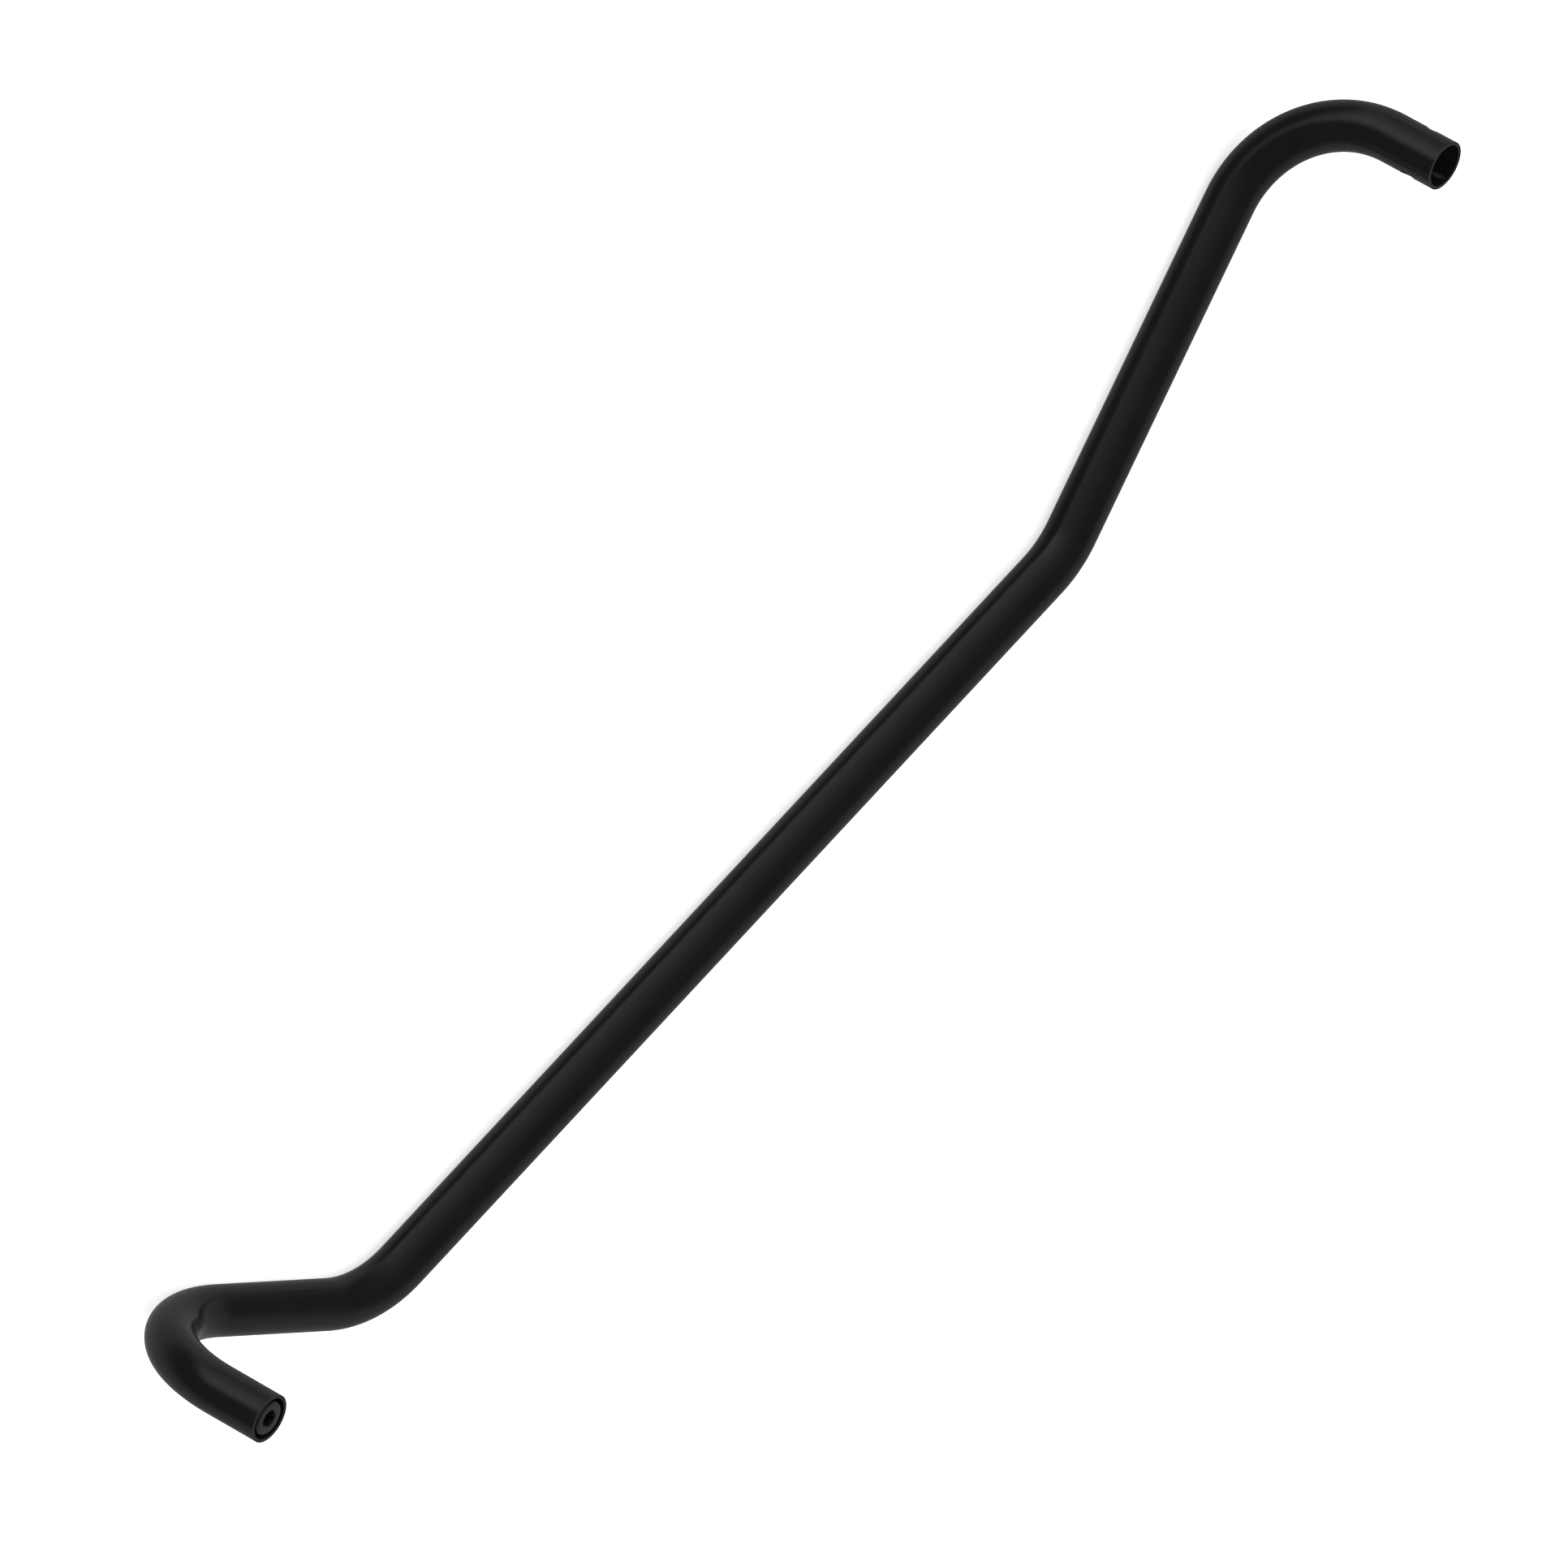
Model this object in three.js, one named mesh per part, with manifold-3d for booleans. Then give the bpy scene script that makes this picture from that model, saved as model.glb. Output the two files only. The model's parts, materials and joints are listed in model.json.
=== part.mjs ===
// A tubular sway bar: one bent steel tube with a cap screw in one stub and a pin hole in the other.
// Millimetres, +Z up. The bar lies flat: its long run and both legs are in the plane z = tube radius,
// +X runs along the long run towards the screw end, both legs turn towards -Y, and both short stubs
// rise out of that plane. The origin is under the middle of the bar's bounding box.
import * as THREE from 'three';
import { mergeVertices } from 'three/addons/utils/BufferGeometryUtils.js';
import Module from 'manifold-3d';

// ---- tube ----
const tubeDiameter = 25.4;
const tubeWall = 1.8;
const bendRadius = 61;
const longRun = 471.5;

// Each arm, outwards from the long run: the elbow in the plane, the leg, the hook up to the stub, and
// the stub. Lean is how far the hook's plane leans from upright, towards +Y. Angles are in degrees.
const screwArm = { elbow: 45, leg: 69.7, hook: 104, lean: 9.7, stub: 31.1 };
const drilledArm = { elbow: 24, leg: 175.7, hook: 93, lean: 18.3, stub: 31.1 };

// ---- pin hole across the drilled stub ----
const pinHoleDiameter = 8;
const pinHoleFromEnd = 14.8;
const pinHoleTurn = -4;        // about the stub, from the plane of the hook

// ---- cap screw, M12 low head, with its lock washer and the bung that it screws into ----
const threadDiameter = 12;
const threadPitch = 1.75;
const headHeight = 7;
const headChamfer = 0.8;
const socketAcrossFlats = 8;
const socketDepth = 5;
const socketPointDepth = 1.2;
const socketMouth = 9.6;
const socketTurn = 20;
const shankChamfer = 1.2;
const shankBeyondBung = 1.9;
const washerThickness = 2.5;
const washerSlit = 1.2;
const bungChamfer = 0.8;

// ---- clearances ----
const headClearance = 1.9;    // between the screw's head and the tube's bore, all round
const bungGap = 0.3;          // between the bung and the tube's bore, all round
const bungShortOfBend = 1;    // between the bung's foot and the start of the hook
const threadGap = 0.3;        // between the screw's shank and the bung's hole, all round
const washerBoreGap = 0.1;    // between the washer and the full thread, all round
const seatGap = 0.3;          // between the head, the washer and the bung, along the screw

// ---- fineness ----
const tubeSides = 24;
const roundSides = 32;
const degreesPerRing = 8;
const cutOvershoot = 5;

const up = new THREE.Vector3(0, 0, 1);
const radians = THREE.MathUtils.degToRad;

const boreRadius = tubeDiameter / 2 - tubeWall;
const headRadius = boreRadius - headClearance;
const threadMeanRadius = threadDiameter / 2 - 0.325 * threadPitch;
const washerTop = -headHeight - seatGap;
const bungTop = washerTop - washerThickness - seatGap;
const bungFoot = bungShortOfBend - screwArm.stub;
const shankTip = bungFoot - shankBeyondBung;

const wasm = await Module();
wasm.setup();

function solidOf(geometry) {
  const bare = geometry.clone();
  bare.deleteAttribute('normal');
  bare.deleteAttribute('uv');
  const merged = mergeVertices(bare, 1e-4);
  return new wasm.Manifold(new wasm.Mesh({
    numProp: 3,
    vertProperties: merged.attributes.position.array,
    triVerts: new Uint32Array(merged.index.array),
  }));
}

function geometryOf(solid) {
  const mesh = solid.getMesh();
  const geometry = new THREE.BufferGeometry();
  geometry.setAttribute('position', new THREE.BufferAttribute(mesh.vertProperties, 3));
  geometry.setIndex(new THREE.BufferAttribute(mesh.triVerts, 1));
  geometry.computeVertexNormals();
  return geometry;
}

function cut(geometry, ...cutters) {
  const solid = cutters.reduce((rest, cutter) => rest.subtract(solidOf(cutter)), solidOf(geometry));
  return geometryOf(solid);
}

// The middle line of a bent tube: rings at the ends of each straight and evenly round each bend.
class BentLine extends THREE.Curve {
  constructor(rings) {
    super();
    this.rings = rings;
  }

  between(u, key, target) {
    const place = u * (this.rings.length - 1);
    const before = Math.min(Math.floor(place), this.rings.length - 2);
    return target.lerpVectors(this.rings[before][key], this.rings[before + 1][key], place - before);
  }

  getPoint(u, target = new THREE.Vector3()) {
    return this.between(u, 'point', target);
  }

  getPointAt(u, target) {
    return this.getPoint(u, target);
  }

  getTangentAt(u, target = new THREE.Vector3()) {
    return this.between(u, 'heading', target).normalize();
  }
}

// Walks one arm from the middle of the long run to the stub's end. Side is the way that the elbow turns.
function walkArm(heading, arm, side) {
  const rings = [];
  let point = new THREE.Vector3(0, 0, tubeDiameter / 2);
  let along = heading.clone();

  const addRing = () => rings.push({ point: point.clone(), heading: along.clone() });
  const straight = (length) => {
    point.addScaledVector(along, length);
    addRing();
  };
  const bend = (towards, degrees) => {
    const centre = point.clone().addScaledVector(towards, bendRadius);
    const first = along.clone();
    const steps = Math.ceil(degrees / degreesPerRing);
    for (let step = 1; step <= steps; step += 1) {
      const angle = radians(degrees * step / steps);
      along = first.clone().multiplyScalar(Math.cos(angle)).addScaledVector(towards, Math.sin(angle));
      point = centre.clone().addScaledVector(towards, -bendRadius * Math.cos(angle));
      point.addScaledVector(first, bendRadius * Math.sin(angle));
      addRing();
    }
  };

  straight(longRun / 2);
  bend(side, arm.elbow);
  straight(arm.leg);
  const legHeading = along.clone();
  const awayFromElbow = new THREE.Vector3().crossVectors(along, up);
  if (awayFromElbow.dot(side) > 0) awayFromElbow.negate();
  const hookTowards = up.clone().multiplyScalar(Math.cos(radians(arm.lean)));
  hookTowards.addScaledVector(awayFromElbow, Math.sin(radians(arm.lean)));
  bend(hookTowards, arm.hook);
  straight(arm.stub);
  return { rings, end: point, axis: along, inHookPlane: acrossAxis(legHeading, along) };
}

// The part of a direction that is square to an axis.
function acrossAxis(direction, axis) {
  return direction.clone().projectOnPlane(axis).normalize();
}

// A frame at a tube's end: z out of the mouth, x in the plane of the hook.
function endFrame(arm) {
  const across = new THREE.Vector3().crossVectors(arm.axis, arm.inHookPlane);
  return new THREE.Matrix4().makeBasis(arm.inHookPlane, across, arm.axis).setPosition(arm.end);
}

const legsTowards = new THREE.Vector3(0, -1, 0);
const screwEnd = walkArm(new THREE.Vector3(1, 0, 0), screwArm, legsTowards);
const drilledEnd = walkArm(new THREE.Vector3(-1, 0, 0), drilledArm, legsTowards);

function tubeGeometry() {
  const inwards = drilledEnd.rings.toReversed().map((ring) => (
    { point: ring.point, heading: ring.heading.clone().negate() }
  ));
  const rings = [...inwards, ...screwEnd.rings];
  const section = new THREE.Shape().absarc(0, 0, tubeDiameter / 2, 0, 2 * Math.PI);
  section.holes.push(new THREE.Path().absarc(0, 0, boreRadius, 0, 2 * Math.PI, true));
  const tube = new THREE.ExtrudeGeometry(section, {
    steps: rings.length - 1,
    curveSegments: tubeSides / 2,
    extrudePath: new BentLine(rings),
  });

  const pinHole = new THREE.CylinderGeometry(
    pinHoleDiameter / 2, pinHoleDiameter / 2, tubeDiameter + 2 * cutOvershoot, roundSides,
  );
  pinHole.rotateZ(Math.PI / 2 + radians(pinHoleTurn));
  pinHole.translate(0, 0, -pinHoleFromEnd);
  pinHole.applyMatrix4(endFrame(drilledEnd));
  return cut(tube, pinHole);
}

// A round piece about the screw's line, from [radius, height] pairs; height 0 is the tube's end.
function turned(profile) {
  const points = profile.map(([radius, height]) => new THREE.Vector2(radius, height));
  return new THREE.LatheGeometry(points, roundSides).rotateX(Math.PI / 2);
}

function screwGeometry() {
  const shank = threadMeanRadius - threadGap / 2;
  const screw = turned([
    [0, shankTip],
    [shank - shankChamfer, shankTip],
    [shank, shankTip + shankChamfer],
    [shank, -headHeight],
    [headRadius, -headHeight],
    [headRadius, -headChamfer],
    [headRadius - headChamfer, 0],
    [0, 0],
  ]);

  const corner = socketAcrossFlats / Math.sqrt(3);
  const mouth = socketMouth / 2;
  const hexagon = new THREE.CylinderGeometry(corner, corner, socketDepth + cutOvershoot, 6);
  hexagon.translate(0, (cutOvershoot - socketDepth) / 2, 0);
  hexagon.rotateX(Math.PI / 2);
  hexagon.rotateZ(radians(socketTurn));
  const point = turned([
    [0, -socketDepth - socketPointDepth],
    [socketAcrossFlats / 2, -socketDepth],
    [socketAcrossFlats / 2, -socketDepth / 2],
    [0, -socketDepth / 2],
  ]);
  const countersink = turned([
    [0, -mouth],
    [mouth + cutOvershoot, cutOvershoot],
    [0, cutOvershoot],
  ]);
  return cut(screw, hexagon, point, countersink);
}

function washerGeometry() {
  const outer = headRadius;
  const inner = threadDiameter / 2 + washerBoreGap;
  const halfSlit = washerSlit / (outer + inner);
  const ring = new THREE.Shape();
  ring.absarc(0, 0, outer, halfSlit, 2 * Math.PI - halfSlit);
  ring.absarc(0, 0, inner, 2 * Math.PI - halfSlit, halfSlit, true);
  ring.closePath();
  const washer = new THREE.ExtrudeGeometry(ring, {
    depth: washerThickness,
    curveSegments: roundSides / 2,
    bevelEnabled: false,
  });
  return washer.translate(0, 0, washerTop - washerThickness);
}

function bungGeometry() {
  const outer = boreRadius - bungGap;
  const hole = threadMeanRadius + threadGap / 2;
  return turned([
    [hole, bungFoot + bungChamfer],
    [hole + bungChamfer, bungFoot],
    [outer - bungChamfer, bungFoot],
    [outer, bungFoot + bungChamfer],
    [outer, bungTop - bungChamfer],
    [outer - bungChamfer, bungTop],
    [hole + bungChamfer, bungTop],
    [hole, bungTop - bungChamfer],
    [hole, bungFoot + bungChamfer],
  ]);
}

const satinBlackPaint = { color: 0x232426, roughness: 0.42, metalness: 0.2 };
const blackOxide = { color: 0x2f3033, roughness: 0.45, metalness: 0.85 };
const springSteel = { color: 0x4a4b4d, roughness: 0.4, metalness: 0.9 };
const bareSteel = { color: 0x77797c, roughness: 0.38, metalness: 1 };

function piece(name, geometry, finish) {
  const mesh = new THREE.Mesh(geometry, new THREE.MeshStandardMaterial(finish));
  mesh.name = name;
  return mesh;
}

const tube = piece('bar_tube', tubeGeometry(), satinBlackPaint);

const screwLine = new THREE.Group();
screwLine.applyMatrix4(endFrame(screwEnd));
screwLine.add(piece('threaded_bung', bungGeometry(), bareSteel));
screwLine.add(piece('lock_washer', washerGeometry(), springSteel));
screwLine.add(piece('end_screw', screwGeometry(), blackOxide));

const swayBar = new THREE.Group();
swayBar.add(tube, screwLine);
const middle = new THREE.Box3().setFromObject(tube).getCenter(new THREE.Vector3());
swayBar.position.set(-middle.x, -middle.y, 0);

export default swayBar;
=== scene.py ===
import json
from functools import partial
from math import ceil, cos, pi, radians, sin, sqrt, tan

import bpy
from mathutils import Matrix, Vector


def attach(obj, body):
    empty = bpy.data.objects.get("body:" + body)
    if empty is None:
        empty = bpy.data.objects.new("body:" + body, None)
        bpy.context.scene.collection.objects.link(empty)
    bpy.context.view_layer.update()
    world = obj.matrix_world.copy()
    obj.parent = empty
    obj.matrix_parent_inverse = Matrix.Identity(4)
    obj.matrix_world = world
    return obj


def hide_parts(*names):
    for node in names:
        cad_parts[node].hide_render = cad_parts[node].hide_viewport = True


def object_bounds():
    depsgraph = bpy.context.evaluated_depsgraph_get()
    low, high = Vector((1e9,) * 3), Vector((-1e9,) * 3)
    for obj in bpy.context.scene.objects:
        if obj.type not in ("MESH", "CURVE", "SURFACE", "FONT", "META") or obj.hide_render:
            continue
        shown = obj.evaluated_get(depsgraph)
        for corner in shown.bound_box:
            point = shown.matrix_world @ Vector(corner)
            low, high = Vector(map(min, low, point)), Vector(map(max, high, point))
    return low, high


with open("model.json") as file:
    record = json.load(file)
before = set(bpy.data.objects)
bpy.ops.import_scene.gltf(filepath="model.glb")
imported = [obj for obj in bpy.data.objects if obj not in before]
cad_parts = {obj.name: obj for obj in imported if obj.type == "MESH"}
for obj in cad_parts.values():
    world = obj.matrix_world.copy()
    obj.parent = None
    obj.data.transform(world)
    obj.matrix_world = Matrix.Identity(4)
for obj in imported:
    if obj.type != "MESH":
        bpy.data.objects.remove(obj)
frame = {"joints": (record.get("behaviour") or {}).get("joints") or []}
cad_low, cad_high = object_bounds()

MM = 0.001
UP = Vector((0, 0, 1))
scene = bpy.context.scene

# ---- tube and its bends, outwards from the long run: elbow, leg, hook up to the stub, stub ----
TUBE_RADIUS = 12.7
BORE_RADIUS = 10.9
BEND_RADIUS = 61
LONG_RUN = 471.5
SCREW_ARM = {"elbow": 45, "leg": 69.7, "hook": 104, "lean": 9.7, "stub": 31.1}
DRILLED_ARM = {"elbow": 24, "leg": 175.7, "hook": 93, "lean": 18.3, "stub": 31.1}
PIN_HOLE_RADIUS = 4
PIN_HOLE_FROM_END = 14.8
PIN_HOLE_TURN = -4
EDGE_BREAK = 0.35
LEGS_TOWARDS = Vector((0, -1, 0))

# ---- cap screw, washer and bung, about the screw's line; height 0 is the tube's end ----
THREAD_RADIUS = 6
THREAD_PITCH = 1.75
HEAD_RADIUS = 9
HEAD_HEIGHT = 7
HEAD_CHAMFER = 0.8
SOCKET_ACROSS_FLATS = 8
SOCKET_DEPTH = 5
SOCKET_POINT_DEPTH = 1.2
SOCKET_MOUTH_RADIUS = 4.8
SOCKET_TURN = 20
SHANK_TIP = -32
KNURL_TEETH = 60
KNURL_DEPTH = 0.28
KNURL_RUN_OUT = 0.2
KNURL_ABOVE_FOOT, KNURL_BELOW_CHAMFER = 0.8, 0.7
HEAD_FOOT_ROUND = 0.5
HEAD_FOOT_ROUND_IN, HEAD_FOOT_ROUND_UP = 0.12, 0.15
HEAD_CHAMFER_ROUND = 0.1
SHANK_INTO_HEAD = 0.4
SHANK_CHAMFER = 1.2
DRILL_POINT_PLAY = 0.02
WASHER_TOP = -7.3
WASHER_THICKNESS = 2.5
WASHER_BORE_RADIUS = 6.1
WASHER_SLIT = 1.2
WASHER_SLIT_SLANT = 20
WASHER_CORNER = 0.25
WASHER_SPRING = 0.3
BUNG_RADIUS = 10.6
BUNG_TOP = -10.1
BUNG_FOOT = -30.1
BUNG_CHAMFER = 0.8
BUNG_LEAD_IN = 0.5
THREAD_PLAY = 0.08

# ---- ISO metric thread, in pitches: flat root, rising flank, flat crest, falling flank ----
ROOT_WIDTH, FLANK_WIDTH, CREST_WIDTH = 0.25, 0.3125, 0.125
THREAD_DEPTH = 0.5413
CREST_MIDDLE = ROOT_WIDTH + FLANK_WIDTH + CREST_WIDTH / 2
THREAD_ROWS = (
    0, ROOT_WIDTH / 2, ROOT_WIDTH, ROOT_WIDTH + FLANK_WIDTH / 2, ROOT_WIDTH + FLANK_WIDTH,
    ROOT_WIDTH + FLANK_WIDTH + CREST_WIDTH, ROOT_WIDTH + FLANK_WIDTH * 1.5 + CREST_WIDTH)

# ---- finishes: the sizes of their patterns, and how rough they are ----
COAT_CLOUD, COAT_SPECK, COAT_PEEL = 22, 0.9, 2.2
COAT_ROUGHNESS, SPECK_ROUGHNESS = (0.14, 0.19), (0, 0.06)
SPECK_LIMITS = (0.5, 0.8)
PEEL_STRENGTH = 0.3
STEEL_CLOUD = 4
STEEL_SMOOTHER, STEEL_ROUGHER = 0.06, 0.08
RELIEF_HEIGHT = 0.02

# ---- light: brightness where white is 1, metres, watts, and ways as azimuth and elevation ----
SKY_LIGHT = 0.9
TABLE_GLOW = 0.6
TABLE_REACH = 15
TABLE_DROP = 0.1 * MM
ROOM_LIGHT, CEILING_LIGHT = 0.24, 0.03
CEILING_WAY, CEILING_EDGE = (18, 39), (-0.3, 0.12)
LAMP_LIGHT = 0.67
# The lamp's edges in the gloss, each a way, where it is dark along that way and where it is full:
# crisp below, soft towards +X, -X, up and behind.
LAMP_EDGES = (
    ((-0.29, 0, 1), -0.42, -0.25), ((1, 0, 0), 0.52, 0.2), ((1, 0, 0), -0.95, 0),
    ((0, 0, 1), 1, -0.1), ((0, -1, 0), 0, 0.3))
SOFTBOX_SIZE, SOFTBOX_HEIGHT, SOFTBOX_POWER = 4, 3, 60

# ---- camera: a long lens, so parallel lines stay parallel. The aim is from the middle of the bar's
# box, along the view's own right and up ----
AZIMUTH, ELEVATION, ROLL = 24.54, 44.58, 115.18
LENS, SENSOR, VIEW_WIDTH = 1500, 36, 749
AIM_RIGHT, AIM_UP = -15.67, 7.95
CLIP_START, CLIP_END = 1, 100

# ---- fineness ----
TUBE_SIDES = 96
PIN_HOLE_SIDES = 48
ROUND_SIDES = 72
DEGREES_PER_RING = 2.5
STUB_RINGS, STUB_RING_SPACING, LAST_RING_TO_MOUTH = 23, 1.25, 0.8
BEVEL_SEGMENTS, BEVEL_FROM_DEGREES = 2, 30
CORNER_STEPS = 3
SMOOTH_DEGREES, TUBE_SMOOTH_DEGREES = 32, 20
WELD_DISTANCE = 0.003
CUT_OVERSHOOT = 1


# ---- helpers ----
SOCKET_KINDS = {
    "GEOMETRY": "NodeSocketGeometry", "FLOAT": "NodeSocketFloat", "INT": "NodeSocketInt",
    "VECTOR": "NodeSocketVector", "FINISH": "NodeSocketMaterial"}


def add_node(tree, kind, inputs=None, **settings):
    """Adds a node with its settings; an input is a value, a socket to link from, or a list."""
    made = tree.nodes.new(kind)
    for key, value in settings.items():
        setattr(made, key, value)
    for key, value in (inputs or {}).items():
        for item in value if isinstance(value, list) else [value]:
            if isinstance(item, bpy.types.NodeSocket):
                tree.links.new(item, made.inputs[key])
            else:
                made.inputs[key].default_value = item
    return made


def sum_node(tree, operation, *values):
    """The result of one sum on values or sockets."""
    return add_node(tree, "ShaderNodeMath", dict(enumerate(values)), operation=operation).outputs[0]


def linear(hex_colour):
    """An sRGB hex colour as linear RGBA."""
    channels = [int(hex_colour[k:k + 2], 16) / 255 for k in (1, 3, 5)]
    return (*[c / 12.92 if c <= 0.04045 else ((c + 0.055) / 1.055) ** 2.4 for c in channels], 1)


def new_tree(name, sizes):
    """A geometry tree with named inputs, its input node and a function that closes it."""
    tree = bpy.data.node_groups.new(name, "GeometryNodeTree")
    for label, kind in sizes.items():
        tree.interface.new_socket(label, in_out="INPUT", socket_type=SOCKET_KINDS[kind])
    tree.interface.new_socket("Geometry", in_out="OUTPUT", socket_type="NodeSocketGeometry")
    source = add_node(tree, "NodeGroupInput").outputs

    def close(mesh):
        real = add_node(tree, "GeometryNodeRealizeInstances", {"Geometry": mesh})
        finished = add_node(tree, "GeometryNodeSetMaterial", {
            "Geometry": real.outputs[0], "Material": source["Finish"]})
        add_node(tree, "NodeGroupOutput", {"Geometry": finished.outputs[0]})
        return tree

    return tree, source, close


def link_mesh(name, mesh):
    """A new object in the scene for a mesh."""
    made = bpy.data.objects.new(name, mesh)
    scene.collection.objects.link(made)
    return made


def settled(worker):
    """The mesh that an object's modifiers leave; the object itself goes."""
    graph = bpy.context.evaluated_depsgraph_get()
    mesh = bpy.data.meshes.new_from_object(worker.evaluated_get(graph), depsgraph=graph)
    bpy.data.objects.remove(worker)
    return mesh


def grown(tree, values, start=None):
    """Runs a geometry tree once with its inputs set by identifier, and returns the mesh."""
    worker = link_mesh(tree.name, start or bpy.data.meshes.new(tree.name))
    modifier = worker.modifiers.new(tree.name, "NODES")
    modifier.node_group = tree
    sockets = {s.name: s.identifier for s in tree.interface.items_tree if s.in_out == "INPUT"}
    for label, value in values.items():
        modifier[sockets[label]] = value
    return settled(worker)


def add_weld(worker):
    """Closes up the slivers that a cut leaves."""
    weld = worker.modifiers.new("weld", "WELD")
    weld.merge_threshold = WELD_DISTANCE * MM


def joined(mesh, operation, *tools):
    """A solid mesh with other solids added to it or cut from it."""
    worker = link_mesh("worker", mesh)
    holders = [link_mesh("tool", tool) for tool in tools]
    for holder in holders:
        modifier = worker.modifiers.new("solid", "BOOLEAN")
        modifier.operation, modifier.solver, modifier.object = operation, "MANIFOLD", holder
    add_weld(worker)
    result = settled(worker)
    for holder in holders:
        bpy.data.objects.remove(holder)
    return result


def turned(profile, sides=ROUND_SIDES, first=0.0, knurled=()):
    """A closed solid turned about z from [radius, height] pairs, foot to top. Knurled rows have
    teeth."""
    points, faces, rows = [], [], []
    for k, (radius, height) in enumerate(profile):
        row = []
        for i in range(1 if radius == 0 else sides):
            angle = first + 2 * pi * i / sides
            reach = radius - (KNURL_DEPTH if k in knurled and i % 2 else 0)
            row.append(len(points))
            points.append((reach * cos(angle) * MM, reach * sin(angle) * MM, height * MM))
        rows.append(row)
    for low, high in zip(rows, rows[1:]):
        for i in range(sides):
            j = (i + 1) % sides
            ring = [low[i % len(low)], low[j % len(low)], high[j % len(high)], high[i % len(high)]]
            faces.append(list(dict.fromkeys(ring)))
    mesh = bpy.data.meshes.new("turned")
    mesh.from_pydata(points, [], faces)
    return mesh


def softened(mesh, width):
    """The mesh with its sharp edges broken."""
    worker = link_mesh("worker", mesh)
    add_weld(worker)
    bevel = worker.modifiers.new("edge break", "BEVEL")
    bevel.limit_method, bevel.angle_limit = "ANGLE", radians(BEVEL_FROM_DEGREES)
    bevel.width, bevel.segments, bevel.loop_slide = width * MM, BEVEL_SEGMENTS, False
    return settled(worker)


def finish_piece(name, mesh, place, material, body, smooth_degrees=SMOOTH_DEGREES):
    mesh.transform(place)
    mesh.materials.clear()
    mesh.materials.append(material)
    mesh.polygons.foreach_set("material_index", [0] * len(mesh.polygons))
    mesh.shade_smooth()
    mesh.set_sharp_from_angle(angle=radians(smooth_degrees))
    mesh.name = name
    made = link_mesh(name + "_finished", mesh)
    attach(made, body)
    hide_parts(name)


# ---- the bar's middle line ----
def walk_arm(heading, arm):
    """Walks one arm from the middle of the long run; returns its points and the frame at its end."""
    point, along = Vector((0, 0, TUBE_RADIUS)), heading.copy()
    line = [point.copy()]

    def straight(length, stations=()):
        nonlocal point
        start = point
        for station in [*stations, length]:
            point = start + along * station
            line.append(point.copy())

    def bend(towards, degrees):
        nonlocal point, along
        centre, first = point + towards * BEND_RADIUS, along.copy()
        steps = ceil(degrees / DEGREES_PER_RING)
        for step in range(1, steps + 1):
            angle = radians(degrees * step / steps)
            along = first * cos(angle) + towards * sin(angle)
            point = centre - towards * (BEND_RADIUS * cos(angle))
            point += first * (BEND_RADIUS * sin(angle))
            line.append(point.copy())

    straight(LONG_RUN / 2)
    bend(LEGS_TOWARDS, arm["elbow"])
    straight(arm["leg"])
    leg_heading = along.copy()
    away_from_elbow = along.cross(UP)
    if away_from_elbow.dot(LEGS_TOWARDS) > 0:
        away_from_elbow.negate()
    lean = radians(arm["lean"])
    bend(UP * cos(lean) + away_from_elbow * sin(lean), arm["hook"])
    stub_rings = [k * STUB_RING_SPACING for k in range(1, STUB_RINGS + 1)]
    straight(arm["stub"], [*stub_rings, arm["stub"] - LAST_RING_TO_MOUTH])
    in_hook_plane = (leg_heading - along * leg_heading.dot(along)).normalized()
    across = along.cross(in_hook_plane)
    turn = Matrix((in_hook_plane, across, along)).transposed()
    return line, Matrix.Translation(point) @ turn.to_4x4()


screw_line, screw_end = walk_arm(Vector((1, 0, 0)), SCREW_ARM)
drilled_line, drilled_end = walk_arm(Vector((-1, 0, 0)), DRILLED_ARM)

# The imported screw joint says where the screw's end of the bar stands.
screw_joint = next(joint for joint in frame["joints"] if joint["name"] == "screw_turn")
shift = Vector(screw_joint["pos_m"]) / MM - screw_end.translation


def in_frame(end):
    """An end's frame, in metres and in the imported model's place."""
    return Matrix.Translation((end.translation + shift) * MM) @ end.to_3x3().to_4x4()


screw_place, drilled_place = in_frame(screw_end), in_frame(drilled_end)
middle_line = [(p + shift) * MM for p in drilled_line[:0:-1] + screw_line]


# ---- finishes ----
def new_finish(name, **shader):
    """A principled material; the shader's own sockets hold every number that is the same all over."""
    material = bpy.data.materials.new(name)
    material.use_nodes = True
    tree = material.node_tree
    tree.nodes.clear()
    surface = add_node(tree, "ShaderNodeBsdfPrincipled", {
        key.replace("_", " "): value for key, value in shader.items()})
    add_node(tree, "ShaderNodeOutputMaterial", {"Surface": surface.outputs[0]})
    return material, tree, surface


def colour_mix(tree, factor, first, second):
    """A colour between two others. A mix node's colours go in at 6 and 7 and come out at 2."""
    inputs = {0: factor, 6: first, 7: second}
    return add_node(tree, "ShaderNodeMix", inputs, data_type="RGBA").outputs[2]


def ranged(tree, value, low, high, from_low=0.3, from_high=0.7, **settings):
    """A value, stretched from one pair of limits to another; a cloud fills 0.3 to 0.7."""
    return add_node(tree, "ShaderNodeMapRange", {
        "Value": value, "From Min": from_low, "From Max": from_high, "To Min": low, "To Max": high},
        **settings).outputs[0]


def cloudy(tree, place, size, detail):
    """Noise in patches of about one size."""
    return add_node(tree, "ShaderNodeTexNoise", {
        "Vector": place, "Scale": 1 / (size * MM), "Detail": detail}).outputs[0]


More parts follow.
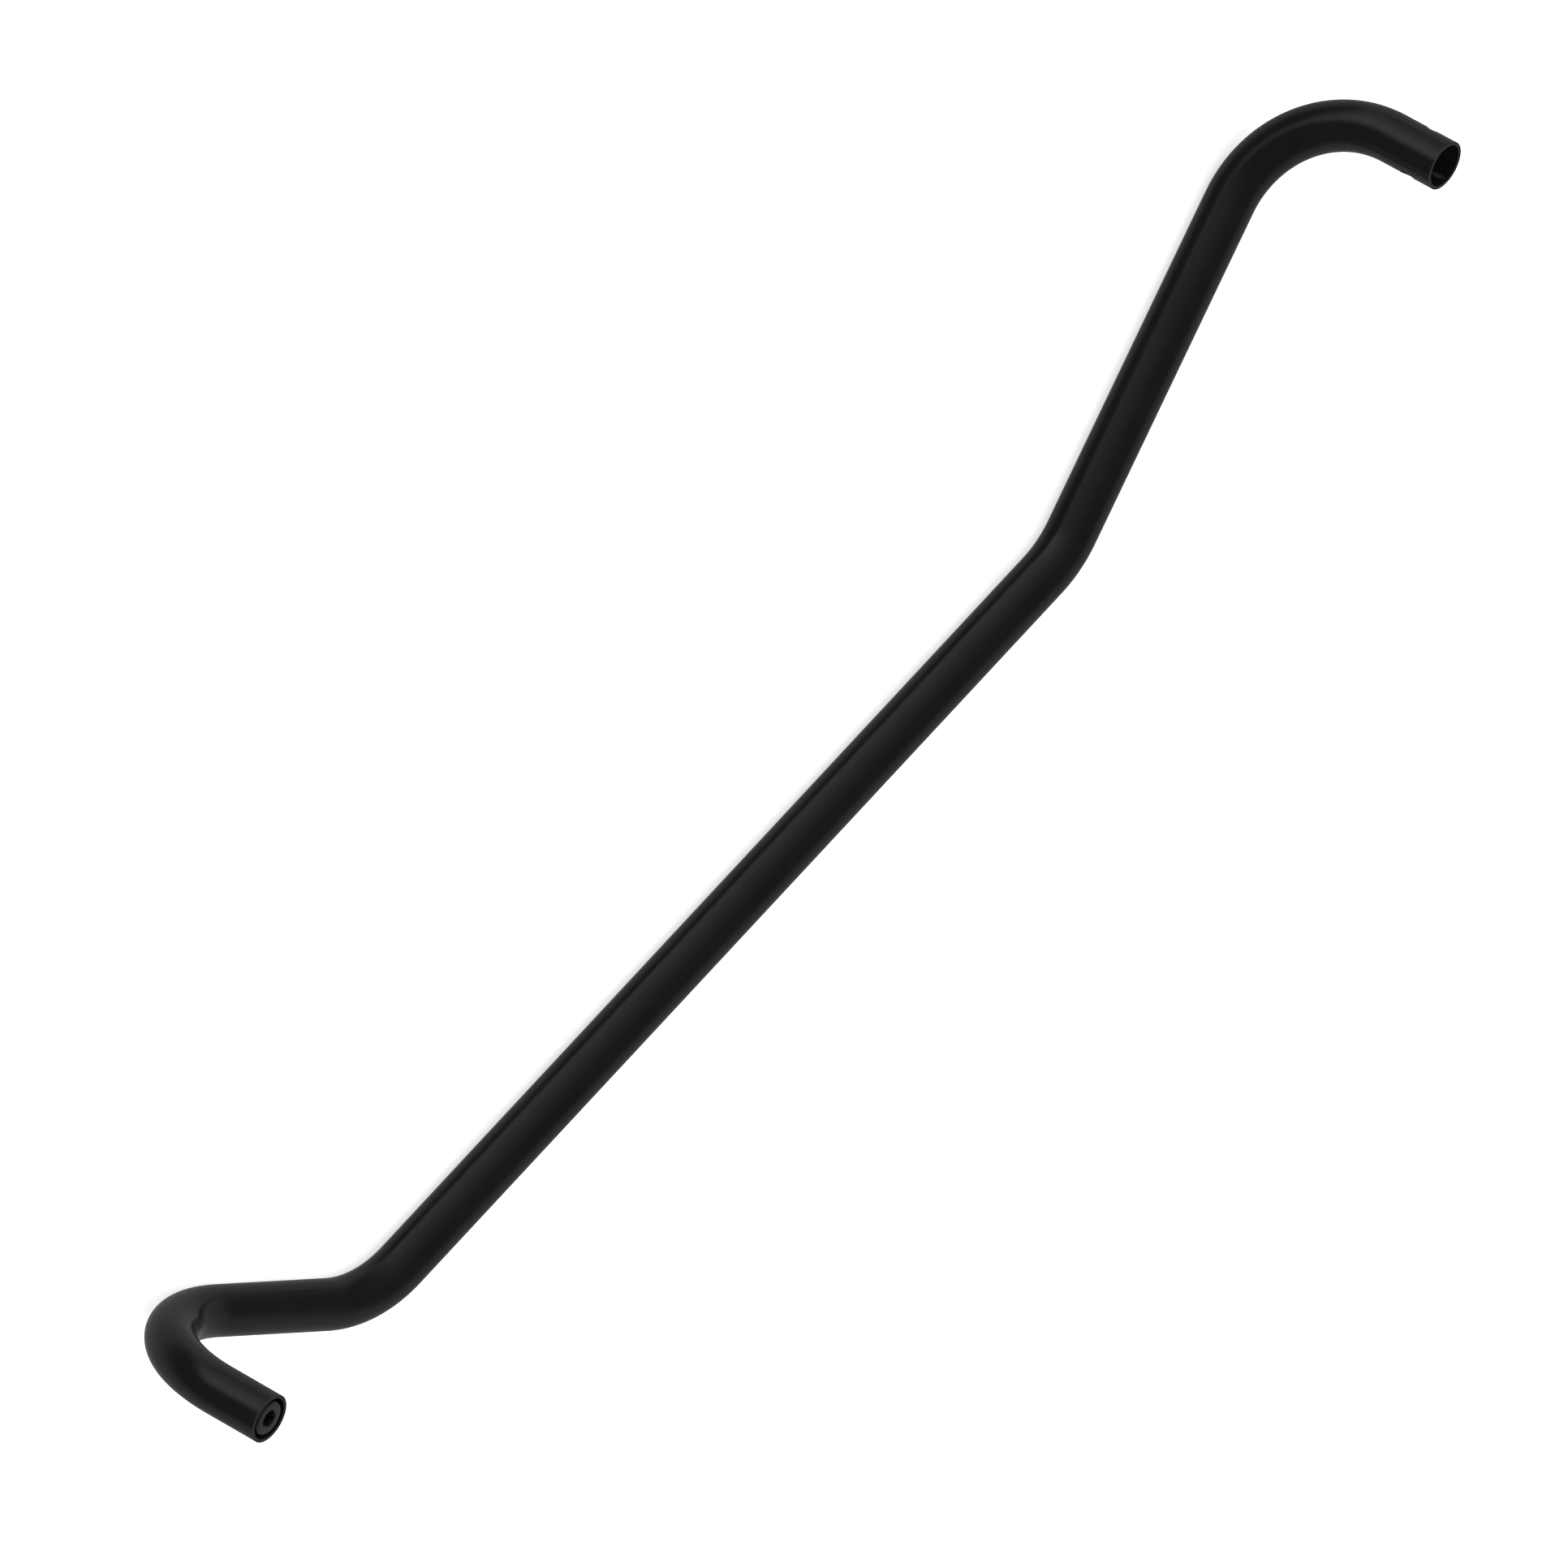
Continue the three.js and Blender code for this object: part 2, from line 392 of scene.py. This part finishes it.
def add_relief(tree, surface, pattern, strength):
    """Fine relief in the gloss, from a pattern."""
    bump = add_node(tree, "ShaderNodeBump", {
        "Height": pattern, "Strength": strength, "Distance": RELIEF_HEIGHT * MM})
    tree.links.new(bump.outputs[0], surface.inputs["Normal"])


def make_powder_coat():
    """Satin black polyester powder, baked on steel. The film levels to a faint orange peel about 2 mm
    across, so highlights stay broad and soft with slightly restless edges, and fine specks dull it."""
    material, tree, surface = new_finish("satin_black_powder_coat", IOR=1.5)
    place = add_node(tree, "ShaderNodeTexCoord").outputs["Object"]
    cloud = cloudy(tree, place, COAT_CLOUD, 4)
    speck = cloudy(tree, place, COAT_SPECK, 2)
    peel = cloudy(tree, place, COAT_PEEL, 1.5)
    tone = colour_mix(tree, cloud, linear("#0F0F0F"), linear("#141414"))
    tree.links.new(tone, surface.inputs["Base Color"])
    levelled = ranged(tree, cloud, *COAT_ROUGHNESS)
    dulled = ranged(tree, speck, *SPECK_ROUGHNESS, *SPECK_LIMITS)
    tree.links.new(sum_node(tree, "ADD", levelled, dulled), surface.inputs["Roughness"])
    add_relief(tree, surface, peel, PEEL_STRENGTH)
    return material


def make_turned_steel(name, end, colours, roughness, mark_spacing, grain=0.25):
    """Steel turned in a lathe: rings of tool marks about the screw's line, under a thin even film."""
    material, tree, surface = new_finish(name, Metallic=1)
    place = add_node(tree, "ShaderNodeTexCoord").outputs["Object"]
    local = add_node(tree, "ShaderNodeMapping", {
        "Vector": place, "Location": end.translation, "Rotation": end.to_euler()},
        vector_type="TEXTURE")
    # A wave of scale 1 repeats every 2 pi / 20.
    marks = add_node(tree, "ShaderNodeTexWave", {
        "Vector": local.outputs[0], "Scale": 2 * pi / (20 * mark_spacing * MM), "Distortion": 0.4,
        "Detail": 1, "Detail Scale": 2}, wave_type="RINGS", rings_direction="SPHERICAL")
    cloud = cloudy(tree, place, STEEL_CLOUD, 5)
    tone = colour_mix(tree, cloud, linear(colours[0]), linear(colours[1]))
    tree.links.new(tone, surface.inputs["Base Color"])
    film = ranged(tree, cloud, roughness - STEEL_SMOOTHER, roughness + STEEL_ROUGHER)
    tree.links.new(film, surface.inputs["Roughness"])
    add_relief(tree, surface, marks.outputs[1], grain)
    return material


powder_black = make_powder_coat()
# Black oxide is a thin magnetite film over the turned head: nearly black, with an oily half-gloss.
oxide_black = make_turned_steel("black_oxide_steel", screw_place, ("#5C5C5D", "#6A6A6B"), 0.34, 0.3)
# Phosphated spring steel is a dull mid grey that holds oil.
phosphate_grey = make_turned_steel("spring_steel", screw_place, ("#57585B", "#6B6C6F"), 0.42, 0.5)
# The bung is plain turned steel, brighter than the rest, with deeper tool marks.
bright_steel = make_turned_steel(
    "turned_steel", screw_place, ("#8C8D90", "#A5A6A9"), 0.32, 0.35, grain=0.4)


# ---- bent tube ----
def bent_tube_tree():
    """Sweeps a round wall along the bar's middle line and drills the pin hole across it."""
    tree, source, close = new_tree("bent tube", {
        "Middle Line": "GEOMETRY", "Outer Radius": "FLOAT", "Bore Radius": "FLOAT", "Sides": "INT",
        "Hole Radius": "FLOAT", "Hole Centre": "VECTOR", "Hole Turn": "VECTOR", "Finish": "FINISH"})
    line = add_node(tree, "GeometryNodeMeshToCurve", {"Mesh": source["Middle Line"]}).outputs[0]

    # The bore's line runs on past both mouths.
    factor = add_node(tree, "GeometryNodeSplineParameter").outputs["Factor"]
    outwards = sum_node(tree, "MULTIPLY_ADD", factor, 2 * CUT_OVERSHOOT * MM, -CUT_OVERSHOOT * MM)
    tangent = add_node(tree, "GeometryNodeInputTangent").outputs[0]
    reach = add_node(
        tree, "ShaderNodeVectorMath", {0: tangent, "Scale": outwards}, operation="SCALE").outputs[0]
    at_ends = add_node(tree, "GeometryNodeCurveEndpointSelection").outputs[0]
    long_line = add_node(tree, "GeometryNodeSetPosition", {
        "Geometry": line, "Selection": at_ends, "Offset": reach}).outputs[0]

    def swept(path, radius):
        """A round solid along a line."""
        section = add_node(tree, "GeometryNodeCurvePrimitiveCircle", {
            "Resolution": source["Sides"], "Radius": radius})
        return add_node(tree, "GeometryNodeCurveToMesh", {
            "Curve": path, "Profile Curve": section.outputs[0], "Fill Caps": True}).outputs[0]

    # Half as long again as the tube is wide, so it goes through both walls.
    drill = add_node(tree, "GeometryNodeMeshCylinder", {
        "Vertices": PIN_HOLE_SIDES, "Radius": source["Hole Radius"],
        "Depth": sum_node(tree, "MULTIPLY", source["Outer Radius"], 3)})
    hole = add_node(tree, "GeometryNodeTransform", {
        "Geometry": drill.outputs[0], "Translation": source["Hole Centre"],
        "Rotation": source["Hole Turn"]})
    wall = add_node(tree, "GeometryNodeMeshBoolean", {
        "Mesh 1": swept(line, source["Outer Radius"]),
        "Mesh 2": [swept(long_line, source["Bore Radius"]), hole.outputs[0]]},
        operation="DIFFERENCE", solver="MANIFOLD")
    return close(wall.outputs[0])


line_mesh = bpy.data.meshes.new("middle line")
line_mesh.from_pydata(middle_line, [(k, k + 1) for k in range(len(middle_line) - 1)], [])
pin_turn = radians(PIN_HOLE_TURN)
pin_axis = drilled_place.to_3x3() @ Vector((cos(pin_turn), sin(pin_turn), 0))
tube = grown(bent_tube_tree(), {
    "Outer Radius": TUBE_RADIUS * MM, "Bore Radius": BORE_RADIUS * MM, "Sides": TUBE_SIDES,
    "Hole Radius": PIN_HOLE_RADIUS * MM,
    "Hole Centre": drilled_place @ Vector((0, 0, -PIN_HOLE_FROM_END * MM)),
    "Hole Turn": UP.rotation_difference(pin_axis).to_euler(), "Finish": powder_black}, line_mesh)
finish_piece("bar_tube", softened(tube, EDGE_BREAK), Matrix(), powder_black, "bar",
             TUBE_SMOOTH_DEGREES)


# ---- threads ----
def threaded_rod_tree():
    """A closed rod with an ISO metric thread: rows wound up a helix, cut flat at both ends."""
    tree, source, close = new_tree("threaded rod", {
        "Thread Radius": "FLOAT", "Pitch": "FLOAT", "From": "FLOAT", "To": "FLOAT",
        "Tip Chamfer": "FLOAT", "Sides": "INT", "Finish": "FINISH"})
    math = partial(sum_node, tree)
    rows_per_turn = len(THREAD_ROWS)
    first_turn = math("FLOOR", math("DIVIDE", source["From"], source["Pitch"]))
    first_turn = math("SUBTRACT", first_turn, 1)
    last_turn = math("CEIL", math("DIVIDE", source["To"], source["Pitch"]))
    turns = math("SUBTRACT", math("ADD", last_turn, 1), first_turn)
    rows = math("MULTIPLY", turns, rows_per_turn)
    # One more row at each end closes the rod on its middle line.
    row_span = math("ADD", rows, 2)
    sheet = add_node(tree, "GeometryNodeMeshGrid", {
        "Size X": source["Sides"], "Size Y": row_span,
        "Vertices X": math("ADD", source["Sides"], 1),
        "Vertices Y": math("ADD", row_span, 1)}).outputs[0]
    spot = add_node(tree, "ShaderNodeSeparateXYZ", {
        0: add_node(tree, "GeometryNodeInputPosition").outputs[0]}).outputs
    share = math("ADD", math("DIVIDE", spot[0], source["Sides"]), 0.5)
    row_with_ends = math("ROUND", math("ADD", spot[1], math("DIVIDE", row_span, 2)))
    row = math("MINIMUM", math("MAXIMUM", math("SUBTRACT", row_with_ends, 1), 0), rows)
    row_in_turn = math("ROUND", math("FLOORED_MODULO", row, rows_per_turn))
    turn = math("ROUND", math("DIVIDE", math("SUBTRACT", row, row_in_turn), rows_per_turn))
    table = tree.nodes.new("GeometryNodeIndexSwitch")
    table.data_type = "FLOAT"
    while len(table.index_switch_items) < rows_per_turn:
        table.index_switch_items.new()
    tree.links.new(row_in_turn, table.inputs["Index"])
    for k, height in enumerate(THREAD_ROWS):
        table.inputs[str(k)].default_value = height
    on_helix = math("ADD", math("ADD", math("ADD", first_turn, turn), table.outputs[0]), share)
    free_height = math("MULTIPLY", on_helix, source["Pitch"])
    height = math("MINIMUM", math("MAXIMUM", free_height, source["From"]), source["To"])

    # How far a height is from the nearest crest says how far up the flank it is. The thousand whole
    # turns keep the number that the fraction is taken of above zero.
    pitches_up = math("SUBTRACT", math("DIVIDE", height, source["Pitch"]), share)
    phase = math("FRACT", math("ADD", pitches_up, 1000))
    off_crest = math("ABSOLUTE", math("SUBTRACT", phase, CREST_MIDDLE))
    off_crest = math("MINIMUM", off_crest, math("SUBTRACT", 1, off_crest))
    to_root = math("SUBTRACT", FLANK_WIDTH + CREST_WIDTH / 2, off_crest)
    rise = math("MINIMUM", math("MAXIMUM", math("DIVIDE", to_root, FLANK_WIDTH), 0), 1)
    thread_depth = math("MULTIPLY", source["Pitch"], THREAD_DEPTH)
    below_crest = math("MULTIPLY", math("SUBTRACT", 1, rise), thread_depth)
    radius = math("SUBTRACT", source["Thread Radius"], below_crest)
    from_tip = math("SUBTRACT", height, source["From"])
    at_tip = math("SUBTRACT", source["Thread Radius"], source["Tip Chamfer"])
    radius = math("MINIMUM", radius, math("ADD", at_tip, from_tip))
    inner_rows = math("MULTIPLY", math("GREATER_THAN", row_with_ends, 0.5),
                      math("LESS_THAN", row_with_ends, math("SUBTRACT", row_span, 0.5)))
    radius = math("MULTIPLY", radius, inner_rows)
    angle = math("MULTIPLY", share, 2 * pi)
    place = add_node(tree, "ShaderNodeCombineXYZ", {
        0: math("MULTIPLY", radius, math("COSINE", angle)),
        1: math("MULTIPLY", radius, math("SINE", angle)), 2: height}).outputs[0]
    wound = add_node(tree, "GeometryNodeSetPosition", {"Geometry": sheet, "Position": place})
    sealed = add_node(tree, "GeometryNodeMergeByDistance", {
        "Geometry": wound.outputs[0], "Distance": WELD_DISTANCE * MM})
    return close(sealed.outputs[0])


thread_tree = threaded_rod_tree()


def threaded_rod(radius, low, high, chamfer, finish):
    """A threaded rod about the screw's line, with a chamfer at its tip."""
    return grown(thread_tree, {
        "Thread Radius": radius * MM, "Pitch": THREAD_PITCH * MM, "From": low * MM, "To": high * MM,
        "Tip Chamfer": chamfer * MM, "Sides": ROUND_SIDES, "Finish": finish})


# ---- cap screw ----
knurl_foot = KNURL_ABOVE_FOOT - HEAD_HEIGHT
knurl_top = -HEAD_CHAMFER - KNURL_BELOW_CHAMFER
head = turned([
    (0, -HEAD_HEIGHT),
    (HEAD_RADIUS - HEAD_FOOT_ROUND, -HEAD_HEIGHT),
    (HEAD_RADIUS - HEAD_FOOT_ROUND_IN, HEAD_FOOT_ROUND_UP - HEAD_HEIGHT),
    (HEAD_RADIUS, HEAD_FOOT_ROUND - HEAD_HEIGHT),
    (HEAD_RADIUS, knurl_foot),
    (HEAD_RADIUS, knurl_foot + KNURL_RUN_OUT),
    (HEAD_RADIUS, knurl_top - KNURL_RUN_OUT),
    (HEAD_RADIUS, knurl_top),
    (HEAD_RADIUS, -HEAD_CHAMFER - HEAD_CHAMFER_ROUND),
    (HEAD_RADIUS - HEAD_CHAMFER_ROUND, HEAD_CHAMFER_ROUND - HEAD_CHAMFER),
    (HEAD_RADIUS - HEAD_CHAMFER + HEAD_CHAMFER_ROUND, -HEAD_CHAMFER_ROUND),
    (HEAD_RADIUS - HEAD_CHAMFER - HEAD_CHAMFER_ROUND, 0),
    (0, 0),
], 2 * KNURL_TEETH, knurled=(5, 6))
shank = threaded_rod(
    THREAD_RADIUS, SHANK_TIP, SHANK_INTO_HEAD - HEAD_HEIGHT, SHANK_CHAMFER, oxide_black)
hex_corner = SOCKET_ACROSS_FLATS / sqrt(3)
socket = turned([
    (0, -SOCKET_DEPTH), (hex_corner, -SOCKET_DEPTH), (hex_corner, CUT_OVERSHOOT), (0, CUT_OVERSHOOT),
], 6, first=radians(SOCKET_TURN) + pi / 6)
drill_radius = SOCKET_ACROSS_FLATS / 2 - DRILL_POINT_PLAY
drill_point = turned([
    (0, -SOCKET_DEPTH - SOCKET_POINT_DEPTH), (drill_radius, -SOCKET_DEPTH),
    (drill_radius, -SOCKET_DEPTH / 2), (0, -SOCKET_DEPTH / 2)])
countersink = turned([
    (0, -SOCKET_MOUTH_RADIUS), (SOCKET_MOUTH_RADIUS + CUT_OVERSHOOT, CUT_OVERSHOOT),
    (0, CUT_OVERSHOOT)])
screw = joined(joined(head, "UNION", shank), "DIFFERENCE", socket, drill_point, countersink)
finish_piece("end_screw", screw, screw_place, oxide_black, "screw")


# ---- split lock washer ----
def split_washer_tree():
    """Winds a rounded square wire once round, with a slanted slit and its ends sprung apart."""
    tree, source, close = new_tree("split washer", {
        "Outer Radius": "FLOAT", "Bore Radius": "FLOAT", "Thickness": "FLOAT", "Slit": "FLOAT",
        "Corner": "FLOAT", "Slant": "FLOAT", "Spring": "FLOAT", "Finish": "FINISH"})
    math = partial(sum_node, tree)
    mean = math("MULTIPLY", math("ADD", source["Outer Radius"], source["Bore Radius"]), 0.5)
    slit_angle = math("DIVIDE", source["Slit"], mean)
    ring = add_node(tree, "GeometryNodeCurveArc", {
        "Resolution": ROUND_SIDES + 1, "Radius": mean,
        "Start Angle": math("MULTIPLY", slit_angle, 0.5),
        "Sweep Angle": math("SUBTRACT", 2 * pi, slit_angle)})
    section = add_node(tree, "GeometryNodeCurvePrimitiveQuadrilateral", {
        "Width": math("SUBTRACT", source["Outer Radius"], source["Bore Radius"]),
        "Height": source["Thickness"]})
    rounded = add_node(tree, "GeometryNodeFilletCurve", {
        "Curve": section.outputs[0], "Radius": source["Corner"], "Count": CORNER_STEPS}, mode="POLY")
    wire = add_node(tree, "GeometryNodeCurveToMesh", {
        "Curve": ring.outputs[0], "Profile Curve": rounded.outputs[0], "Fill Caps": True}).outputs[0]
    position = add_node(tree, "GeometryNodeInputPosition").outputs[0]
    spot = add_node(tree, "ShaderNodeSeparateXYZ", {0: position}).outputs
    lean = math("DIVIDE", math("MULTIPLY", spot[2], source["Slant"]), mean)
    leaned = add_node(tree, "ShaderNodeVectorRotate", {"Vector": position, "Angle": lean},
                      rotation_type="Z_AXIS").outputs[0]
    share = math("FRACT", math("ADD", math("DIVIDE", math("ARCTAN2", spot[1], spot[0]), 2 * pi), 1))
    sprung = math("MULTIPLY", math("SUBTRACT", 0.5, share), source["Spring"])
    offset = add_node(tree, "ShaderNodeCombineXYZ", {2: sprung}).outputs[0]
    shaped = add_node(tree, "GeometryNodeSetPosition", {
        "Geometry": wire, "Position": leaned, "Offset": offset}).outputs[0]
    return close(shaped)


washer = grown(split_washer_tree(), {
    "Outer Radius": HEAD_RADIUS * MM, "Bore Radius": WASHER_BORE_RADIUS * MM,
    "Thickness": WASHER_THICKNESS * MM, "Slit": WASHER_SLIT * MM, "Corner": WASHER_CORNER * MM,
    "Slant": tan(radians(WASHER_SLIT_SLANT)), "Spring": WASHER_SPRING * MM,
    "Finish": phosphate_grey})
washer.transform(Matrix.Translation((0, 0, (WASHER_TOP - WASHER_THICKNESS / 2) * MM)))
finish_piece("lock_washer", washer, screw_place, phosphate_grey, "washer")

# ---- threaded bung ----
blank = turned([
    (0, BUNG_FOOT), (BUNG_RADIUS - BUNG_CHAMFER, BUNG_FOOT), (BUNG_RADIUS, BUNG_FOOT + BUNG_CHAMFER),
    (BUNG_RADIUS, BUNG_TOP - BUNG_CHAMFER), (BUNG_RADIUS - BUNG_CHAMFER, BUNG_TOP), (0, BUNG_TOP)])
# The cutters run past both faces. A chamfer below zero leaves the tap's tip whole.
above_top, below_foot = BUNG_TOP + CUT_OVERSHOOT, BUNG_FOOT - CUT_OVERSHOOT
tap = threaded_rod(
    THREAD_RADIUS + THREAD_PLAY, below_foot, above_top, -2 * CUT_OVERSHOOT, bright_steel)
lead_in = THREAD_RADIUS + BUNG_LEAD_IN
top_sink = turned([
    (0, BUNG_TOP - lead_in), (lead_in + CUT_OVERSHOOT, above_top), (0, above_top)])
foot_sink = turned([
    (0, below_foot), (lead_in + CUT_OVERSHOOT, below_foot), (0, BUNG_FOOT + lead_in)])
bung = joined(blank, "DIFFERENCE", tap, top_sink, foot_sink)
finish_piece("threaded_bung", bung, screw_place, bright_steel, "bar")


# ---- floor, light and camera ----
def way_to(azimuth, elevation):
    """A direction: azimuth 0 is towards -Y and 90 towards +X, in degrees."""
    turn, rise = radians(azimuth), radians(elevation)
    return Vector((sin(turn) * cos(rise), -cos(turn) * cos(rise), sin(rise)))


# A lit white table: it glows a little, so the bar's shadow stays faint. It is left out of the gloss.
table_white = new_finish(
    "pale_lit_table", Base_Color=linear("#E6E6E6"), Roughness=0.8, Specular_IOR_Level=0.1,
    Emission_Color=linear("#FFFFFF"), Emission_Strength=TABLE_GLOW)[0]
table_corners = [
    (x * TABLE_REACH, y * TABLE_REACH, -TABLE_DROP)
    for x, y in ((-1, -1), (1, -1), (1, 1), (-1, 1))]
table_mesh = bpy.data.meshes.new("table")
table_mesh.from_pydata(table_corners, [], [(0, 1, 2, 3)])
table_mesh.materials.append(table_white)
table = link_mesh("table", table_mesh)
table.visible_glossy = False

# White all round. In the gloss it is a grey room with a darker ceiling and a soft lamp low in front.
world = bpy.data.worlds.new("studio")
world.use_nodes = True
scene.world = world
sky_tree = world.node_tree
sky_tree.nodes.clear()
ray_way = add_node(sky_tree, "ShaderNodeTexCoord").outputs["Generated"]


def towards(way):
    """How far the sky at each place is towards a way: 1 is straight along it, -1 is behind."""
    return add_node(sky_tree, "ShaderNodeVectorMath", {
        0: ray_way, 1: way}, operation="DOT_PRODUCT").outputs["Value"]


def white_sky(strength):
    """A white sky of one strength, or of the strength that a socket gives."""
    return add_node(sky_tree, "ShaderNodeBackground", {
        "Color": linear("#FFFFFF"), "Strength": strength}).outputs[0]


room = ranged(
    sky_tree, towards(way_to(*CEILING_WAY)), ROOM_LIGHT, CEILING_LIGHT, *CEILING_EDGE,
    interpolation_type="SMOOTHSTEP")
lamp = LAMP_LIGHT
for way, dark_from, full_from in LAMP_EDGES:
    lamp = sum_node(
        sky_tree, "MULTIPLY", ranged(sky_tree, towards(way), 0, 1, dark_from, full_from), lamp)
sky_in_gloss = white_sky(sum_node(sky_tree, "ADD", lamp, room))
in_gloss = add_node(sky_tree, "ShaderNodeLightPath").outputs["Is Glossy Ray"]
sky = add_node(sky_tree, "ShaderNodeMixShader", {
    0: in_gloss, 1: white_sky(SKY_LIGHT), 2: sky_in_gloss})
add_node(sky_tree, "ShaderNodeOutputWorld", {"Surface": sky.outputs[0]})

# A wide softbox overhead evens out the table.
softbox = bpy.data.objects.new("softbox", bpy.data.lights.new("softbox", "AREA"))
softbox.data.size, softbox.data.energy = SOFTBOX_SIZE, SOFTBOX_POWER
softbox.location = (0, 0, SOFTBOX_HEIGHT)
softbox.visible_camera = softbox.visible_glossy = False
scene.collection.objects.link(softbox)

# The camera stands back along its way, rolled from the level about its own line of sight.
roll = radians(ROLL)
back = way_to(AZIMUTH, ELEVATION)
level = Vector((cos(radians(AZIMUTH)), sin(radians(AZIMUTH)), 0))
right = level * cos(roll) + back.cross(level) * sin(roll)
above = back.cross(right)
camera = bpy.data.objects.new("camera", bpy.data.cameras.new("camera"))
camera.data.lens, camera.data.sensor_width = LENS, SENSOR
camera.data.clip_start, camera.data.clip_end = CLIP_START, CLIP_END
camera.rotation_mode = "QUATERNION"
camera.rotation_quaternion = Matrix((right, above, back)).transposed().to_quaternion()
aim = (cad_low + cad_high) / 2 + (right * AIM_RIGHT + above * AIM_UP) * MM
camera.location = aim + back * (VIEW_WIDTH * MM * LENS / SENSOR)
scene.collection.objects.link(camera)
scene.camera = camera
scene.view_settings.view_transform = "Standard"
